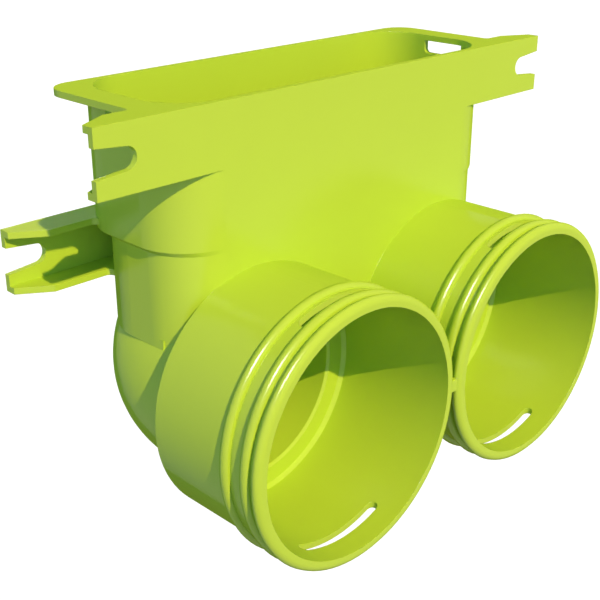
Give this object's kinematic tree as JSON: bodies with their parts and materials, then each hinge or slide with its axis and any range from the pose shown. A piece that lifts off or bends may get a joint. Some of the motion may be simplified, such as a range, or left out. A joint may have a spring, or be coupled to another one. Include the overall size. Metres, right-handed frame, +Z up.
{
  "type": "downspout adapter",
  "caption": "Plastic adapter from a flat rectangular collar with screw lugs, through a hollow body and rounded elbows, to side-by-side round ribbed pipe sockets.",
  "frame": {"origin": "on the front face of the front plate, half way along it and level with the open screw slots of the front lugs", "axes": "+Z up along the collar, +X along the front plate, sockets open towards -Y"},
  "size_m": [0.1932, 0.0942, 0.1323],
  "materials": {
    "green_plastic": "moulded, slightly glossy"
  },
  "bodies": {
    "root": {"adapter_body": "green_plastic"}
  },
  "joints": []
}
